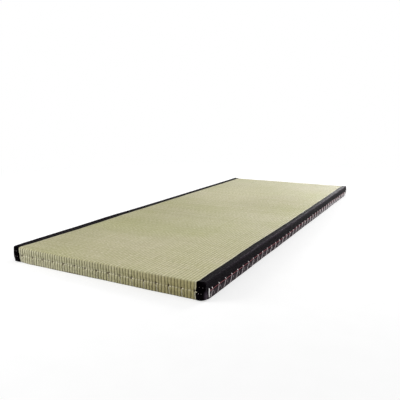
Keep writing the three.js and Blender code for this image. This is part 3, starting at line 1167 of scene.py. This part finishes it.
def folded_shell(sign, outer, inner, nx, ny, rows):
    """Points and faces of both skins, closed all round by a folded edge."""
    faces = half_faces(nx, ny, rows)
    count, loop = len(outer), loop_size(nx, ny)
    back_tab = [r * loop + loop - 1 for r in range(1, rows)]
    inner_edge = [rows * loop + j for j in range(ny - 1, -1, -1)]
    front_tab = [r * loop for r in range(rows - 1, 0, -1)]
    ring = list(range(loop)) + back_tab + inner_edge + front_tab
    fold = (outer[ring] + inner[ring]) / 2
    lip = np.zeros_like(fold)
    lip[:loop, 2] = -0.35 * MM
    lip[loop:, 0] = -sign * 0.75 * MM
    lip[[0, loop - 1], 0] = -sign * 0.5 * MM
    shell = faces + [tuple(v + count for v in f[::-1]) for f in faces]
    for k, a in enumerate(ring):
        after = (k + 1) % len(ring)
        b = ring[after]
        fa, fb = 2 * count + k, 2 * count + after
        shell += [(b, a, fa, fb), (fb, fa, a + count, b + count)]
    return np.concatenate([outer, inner, fold + lip]), shell


def cloth_wear_and_sheen(points):
    """Paler along the top edge, more towards the back, and at the foot of the corners: partly worn,
    partly painted sheen.
    """
    x, y, z = points.T
    edge = hump(z - (RUSH_TOP - 0.5 * MM), 3 * MM) * past(np.abs(x), HALF_WIDTH - 6 * MM, 4 * MM)
    corner = hump(np.abs(y) - (HALF_LENGTH - 6 * MM), 9 * MM) * past(
        np.abs(x), CORNER_X + 5.5 * MM, 6 * MM) * short_of(z, 36 * MM, 14 * MM)
    return np.clip(follow(EDGE_WEAR_AND_SHEEN, y) * edge + 0.55 * corner, 0, 1)


def cloth_layout(mesh, points):
    """Each face laid out flat in the plane that it lies nearest to."""
    standing = corner_points(mesh)
    uv = np.zeros((len(mesh.loops), 2))
    for face in mesh.polygons:
        around = list(face.loop_indices)
        thin = int(np.argmax(np.abs(np.array(face.normal))))
        plane = ((1, 2), (0, 2), (1, 0))[thin]
        uv[around] = points[standing[around]][:, plane]
    return uv


def face_outwards(shaped):
    bmesh.ops.recalc_face_normals(shaped, faces=shaped.faces[:])


def binding_mesh(name, sign):
    hem = math.degrees(math.asin((HEM_Z - FOOT) / (FOOT + CLOTH_OUT)))
    rows = skin_rows((hem, hem * 0.66, hem * 0.33, 0), CLOTH_HEIGHTS, CLOTH_EDGE, CLOTH_EDGE)
    xs = np.array([BAND_X, BAND_X + 0.8 * MM, 377.5 * MM, 380.5 * MM, 384 * MM, CORNER_X])
    near = CORNER_Y - np.array([0, 2, 4, 6, 8, 10, 12, 14, 15.5, 17, 18.5, 20]) * MM
    middle = np.linspace(-near[-1], near[-1], 330)
    ys = np.concatenate([-near[:-1], middle, near[:-1][::-1]])
    outer, inner = cloth_skins(sign, xs, ys, rows)
    points, faces = folded_shell(sign, outer, inner, xs.size, ys.size, len(rows))
    mesh = new_mesh(name, points, faces, face_outwards)
    mesh.polygons.foreach_set("use_smooth", np.ones(len(mesh.polygons), bool))
    store(mesh, "wear_and_sheen", cloth_wear_and_sheen(points))
    lay_out(mesh, "cloth", cloth_layout(mesh, points))
    mesh.materials.append(MATERIALS["cloth"])
    return mesh


# ---------------------------------------------------------------- sewing

# Radii of the threads
SHORT_STITCH = 1.25 * MM
CORNER_STRAND = 1.9 * MM
RED_STRAND = 0.5 * MM
# The strands that slant down an end: how far beside the first, and the radius
END_STRANDS = ((0.0, 0.85 * MM), (1.5 * MM, 0.75 * MM))
# In millimetres: where the corner's strands lie along the mat, and the dots on each tab
CORNER_STRAND_Y = 973
TAB_DOTS = ((381.8, 43.9), (393.8, 44.5), (379.2, 23.6), (387.5, 24.4))


def surface_of(*objects):
    """A tree of the finished surfaces, for laying threads on them."""
    corners, faces = [], []
    for made in objects:
        start = len(corners)
        corners += [v.co.copy() for v in made.data.vertices]
        faces += [tuple(v + start for v in p.vertices) for p in made.data.polygons]
    return BVHTree.FromPolygons(corners, faces)


def laid_on(tree, start, inward, edge, lift):
    """A point of a thread, lifted off the wall that it meets on its way inward. Where the foot
    stands clear of the floor, the thread ends above it."""
    inward = Vector(inward)
    for higher in range(8):
        place = Vector(start) + Vector((0, 0, higher * MM))
        hit = tree.ray_cast(place, inward)[0]
        if hit and hit.dot(inward) < -edge + 10 * MM:
            return hit - inward * lift
    raise RuntimeError("a thread lies past the wall")


def on_end_face(tree, which, x, z, lift):
    return laid_on(tree, (x, which * 1.1, z), (0, -which, 0), HALF_LENGTH, lift)


def on_long_side(tree, sign, y, z, lift):
    return laid_on(tree, (sign * 0.5, y, z), (-sign, 0, 0), HALF_WIDTH, lift)


def even(points, smoothing=2):
    """Takes the bumps out of a laid path, because a tight thread bridges them."""
    line = np.array([tuple(p) for p in points])
    for _ in range(smoothing):
        line[1:-1] = (line[:-2] + 2 * line[1:-1] + line[2:]) / 4
    return line


def thread_piece(name, paths, material, seed, wander=THREAD_WANDER):
    """One joined piece of all the paths, each a list of points and a radius."""
    points, edges, thick = [], [], []
    for line, radius in paths:
        start = len(points)
        points += [tuple(p) for p in line]
        edges += [(start + k, start + k + 1) for k in range(len(line) - 1)]
        thick += [radius] * len(line)
    mesh = bpy.data.meshes.new(name)
    mesh.from_pydata(points, edges, [])
    store(mesh, "thick", thick)
    return grown(name, mesh, THREAD_TREE, {
        "Wander": wander, "Seed": seed, "Thread": MATERIALS[material]})


def short_stitch(tree, which, centre, reach):
    """Out of the pit and along the seam."""
    line = []
    for t in np.linspace(0.45, 1.1, 7):
        height = SEAM_Z + (0.6 - 1.4 * t) * MM
        lift = (0.5 + 1.3 * math.sin(math.pi * t)) * MM
        line.append(on_end_face(tree, which, centre - which * reach * t, height, lift))
    return even(line, 1)


def slanting_strand(tree, which, centre, apart, lean):
    """From the pit down to the foot."""
    line = []
    for t in np.linspace(0, 1, 16):
        z = SEAM_Z - 3.2 * MM - t * (SEAM_Z - 4.7 * MM)
        x = centre - which * (apart * smooth(t * 6) + lean * (SEAM_Z - z))
        lift = (0.25 + 0.5 * smooth(t * 8) - 0.9 * smooth((t - 0.93) * 14)) * MM
        line.append(on_end_face(tree, which, float(x), z, float(lift)))
    return even(line)


def end_threads(tree):
    """Across each end: a short stitch along the seam, and a pair of strands down to the foot."""
    random = np.random.default_rng(21)
    paths, pairs = [], []
    for which in (-1, 1):
        for place in STITCH_X:
            centre = place * -which
            reach = random.uniform(6.5, 9.0) * MM
            paths.append((short_stitch(tree, which, centre, reach), SHORT_STITCH))
            lean = END_STITCH_LEAN * random.uniform(0.7, 1.3)
            for apart, radius in END_STRANDS:
                pairs.append((slanting_strand(tree, which, centre, apart, lean), radius))
    return (thread_piece("end_threads", paths, "cream", 1.0),
            thread_piece("end_pairs", pairs, "straw", 1.5))


def red_line_height(y):
    """The line was sewn by hand and strays up and down by a few millimetres."""
    return float(follow(RED_LINE, y)) * MM


def side_leg(tree, sign, start, stop, radius, apart, bow, count=12):
    """A strand from one place and height on a long side to another, by `apart` beside the
    straight line and bowed along the mat. Its ends go into the cloth."""
    (y0, z0), (y1, z1) = start, stop
    beside = Vector((z0 - z1, y1 - y0)).normalized() * apart
    line = []
    for t in np.linspace(0, 1, count):
        lift = radius * (0.9 if 0.08 < t < 0.92 else -0.6)
        place = y0 + (y1 - y0) * t + bow * math.sin(math.pi * t)
        line.append(on_long_side(tree, sign, place + beside.x, z0 + (z1 - z0) * t + beside.y,
                                 lift))
    return even(line, 1), radius


def corner_stitches(tree, sign):
    """Two thick strands hold the tab's flap at each end of a long side."""
    paths = []
    for end in (-1, 1):
        for strand in (-0.7, 0.7):
            line = []
            for t in np.linspace(0, 1, 12):
                lift = (1.2 if 0.06 < t < 0.94 else -0.6) * MM
                bow = 1.6 * math.sin(math.pi * t)
                place = end * (CORNER_STRAND_Y + strand - 1.5 * t + bow) * MM
                line.append(on_long_side(tree, sign, place, (34.5 - 26.5 * t) * MM, lift))
            paths.append((even(line, 1), CORNER_STRAND))
    return paths


def side_threads(tree, sign, name):
    """Along a long side: at each stitch a bright tick above the red line, and two legs drawn down to
    the foot in the white thread painted darker as shade."""
    random = np.random.default_rng(31 + sign)
    bright, shaded = [], []
    for k in range(SIDE_STITCHES):
        y = SIDE_STITCH_FIRST + k * SIDE_STITCH_PITCH + random.uniform(-1.2, 1.2) * MM
        line_z = red_line_height(y)
        rise = float(follow(TICK_RISE, y)) * MM
        z_top = line_z + rise + random.uniform(-0.6, 0.6) * MM
        looser = float(follow(LOOSENESS, y)) if sign > 0 else 0.1
        slant = float(follow(LEG_SLANT, y)) * MM
        for ply in (-1, 1):
            bright.append(side_leg(
                tree, sign, (y - 4 * MM, z_top), (y + 4 * MM, line_z - 1.5 * MM),
                (1.1 + 0.55 * looser) * MM, ply * (0.6 + 0.95 * looser) * MM, -0.6 * MM, 9))
            shaded.append(side_leg(
                tree, sign, (y - 0.5 * MM, line_z), (y - slant, 2 * MM),
                (0.8 + 0.45 * looser) * MM, ply * (0.45 + 0.8 * looser) * MM, 1.2 * MM))
        shaded.append(side_leg(tree, sign, (y + 3 * MM, line_z), (y + 13 * MM, 7 * MM),
                            (0.52 + 0.35 * looser) * MM, 0.0, 0.8 * MM))
    bright += corner_stitches(tree, sign)
    # The legs: the white thread painted darker as shade
    return (thread_piece("white_thread_" + name, bright, "white", 2.0 + sign),
            thread_piece("shaded_white_thread_" + name, shaded, "grey", 4.0 + sign))


def red_threads(tree, sign, name):
    """The red pair lies in the drawn-in line, straight from stitch to stitch."""
    paths = []
    for offset in (0.75, -0.75):
        line = []
        for y in np.arange(-968, 968.1, 5.9) * MM:
            near = math.cos(stitch_beat(y))
            z = red_line_height(y) + (offset + 0.5 * near) * MM
            over = (1 + near) ** 2 / 4
            line.append(on_long_side(tree, sign, float(y), z, (0.5 + 1.6 * over) * MM))
        paths.append((even(line), RED_STRAND))
    return thread_piece("red_thread_" + name, paths, "red", 6.0 + sign)


def tab_threads(tree):
    """Short stitches that show as dots on the tabs."""
    random = np.random.default_rng(41)
    paths = []
    for which in (-1, 1):
        for sign in (-1, 1):
            for x, z in TAB_DOTS:
                x, z = x * MM + random.uniform(-0.4, 0.4) * MM, z * MM
                lean = random.uniform(-0.5, 0.5)
                dot = [on_end_face(tree, which, sign * (x + lean * t * MM), z + 1.3 * t * MM,
                                   (0.55 - 0.9 * t * t) * MM)
                       for t in np.linspace(-1, 1, 5)]
                paths.append((even(dot, 0), (0.4 if sign > 0 else 0.35) * MM))
    # Grey: the white thread painted darker as shade
    return thread_piece("tab_threads", paths, "grey", 8.0, 0.0)


# ---------------------------------------------------------------- room

CAMERA_PLACE = (1.0039, -2.1516, 0.5565)
CAMERA_HEADING = (-0.47373, 0.88067)
CAMERA_PITCH = 10.905
CAMERA_ROLL = -0.01
LENS = 42.546
FLOOR_SIZE = 30.0


def camera():
    """Set low in front of the right corner, looking along the mat."""
    heading = Vector(CAMERA_HEADING).normalized()
    pitch, roll = math.radians(CAMERA_PITCH), math.radians(CAMERA_ROLL)
    forward = Vector((heading.x * math.cos(pitch), heading.y * math.cos(pitch), -math.sin(pitch)))
    right = forward.cross(Vector((0, 0, 1))).normalized()
    up = right.cross(forward)
    turned = Matrix((right, up, -forward)).transposed()
    data = bpy.data.cameras.new("camera")
    data.lens = LENS
    data.sensor_width = 36
    data.clip_start = 0.05
    made = new_object("camera", data)
    made.matrix_world = Matrix.Translation(CAMERA_PLACE) @ (
        turned @ Matrix.Rotation(roll, 3, "Z")).to_4x4()
    bpy.context.scene.camera = made


def camera_sees(n):
    """1 where a camera, mirror or glass ray looks, 0 where light is only bouncing."""
    path = n.tree.nodes.new("ShaderNodeLightPath")
    seen = n.plus(path.outputs["Is Camera Ray"], path.outputs["Is Glossy Ray"])
    return n.math("ADD", seen, path.outputs["Is Transmission Ray"], clamp=True)


def floor_material():
    """Pale floor that keeps the mat's shadow and runs out to plain white."""
    made = bpy.data.materials.new("pale floor")
    made.use_nodes = True
    n = Nodes(made.node_tree)
    made.node_tree.nodes.clear()
    place = n.place()
    far = n.ramp(n.add("ShaderNodeVectorMath", place, out=1, operation="LENGTH"), 1.3, 2.6)
    grain = n.noise(place, 14.0, 2.0)
    tint = n.mix(grain, (0.62, 0.62, 0.62, 1), (0.66, 0.66, 0.66, 1))
    matt = n.add("ShaderNodeBsdfDiffuse", tint, 1.0)
    glow = n.add("ShaderNodeEmission", (1, 1, 1, 1), n.times(camera_sees(n), 0.5))
    lit = n.add("ShaderNodeAddShader", matt, glow)
    white = n.add("ShaderNodeEmission", (1, 1, 1, 1), 1.0)
    mixed = n.add("ShaderNodeMixShader", n.times(far, camera_sees(n)), lit, white)
    output = made.node_tree.nodes.new("ShaderNodeOutputMaterial")
    n.feed(output.inputs["Surface"], mixed)
    return made


def room():
    mesh = bpy.data.meshes.new("floor")
    corners = [(-1, -1), (1, -1), (1, 1), (-1, 1)]
    mesh.from_pydata([(x * FLOOR_SIZE, y * FLOOR_SIZE, 0) for x, y in corners], [], [(0, 1, 2, 3)])
    mesh.materials.append(floor_material())
    floor = new_object("floor", mesh)
    world = bpy.data.worlds.new("studio")
    bpy.context.scene.world = world
    world.use_nodes = True
    n = Nodes(world.node_tree)
    sky = world.node_tree.nodes["Background"]
    n.feed(sky.inputs["Strength"], n.lerp(camera_sees(n), 0.56, 1.0))
    sky.inputs["Color"].default_value = (1, 1, 1, 1)


def softbox(name, place, aim, size, power):
    data = bpy.data.lights.new(name, "AREA")
    data.shape = "RECTANGLE"
    data.size, data.size_y = size
    data.energy = power
    made = new_object(name, data)
    made.location = place
    made.rotation_euler = (Vector(aim) - Vector(place)).to_track_quat("-Z", "Y").to_euler()


bpy.context.scene.view_settings.view_transform = "Standard"
camera()
room()
softbox("key softbox", (1.5, 2.6, 2.4), aim=(0.0, 0.3, 0.0), size=(1.6, 1.6), power=84)
softbox("front softbox", (-1.3, -1.95, 0.75), aim=(-0.3, -1.0, 0.0), size=(1.0, 0.8), power=19)
softbox("back softbox", (0.2, 3.6, 0.8), aim=(0.35, 0.7, 0.0), size=(0.9, 0.7), power=18)
softbox("side softbox", (2.4, -0.4, 0.7), aim=(0.4, 0.0, 0.0), size=(0.8, 0.5), power=8)

SIDES = (("left", -1), ("right", 1))
facing = rush_facing()
bindings = {name: new_object("binding_cloth_" + name, binding_mesh("binding_cloth_" + name, sign))
            for name, sign in SIDES}
surface = surface_of(facing, *bindings.values())
sewing = [*end_threads(surface), tab_threads(surface)]
edge_sewing = {name: [*side_threads(surface, sign, name), red_threads(surface, sign, name)]
               for name, sign in SIDES}

for piece in (facing, *bindings.values(), *sewing, *edge_sewing["left"], *edge_sewing["right"]):
    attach(piece, "root")
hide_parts("rush_body")
for name, cloth in bindings.items():
    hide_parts("binding_" + name)
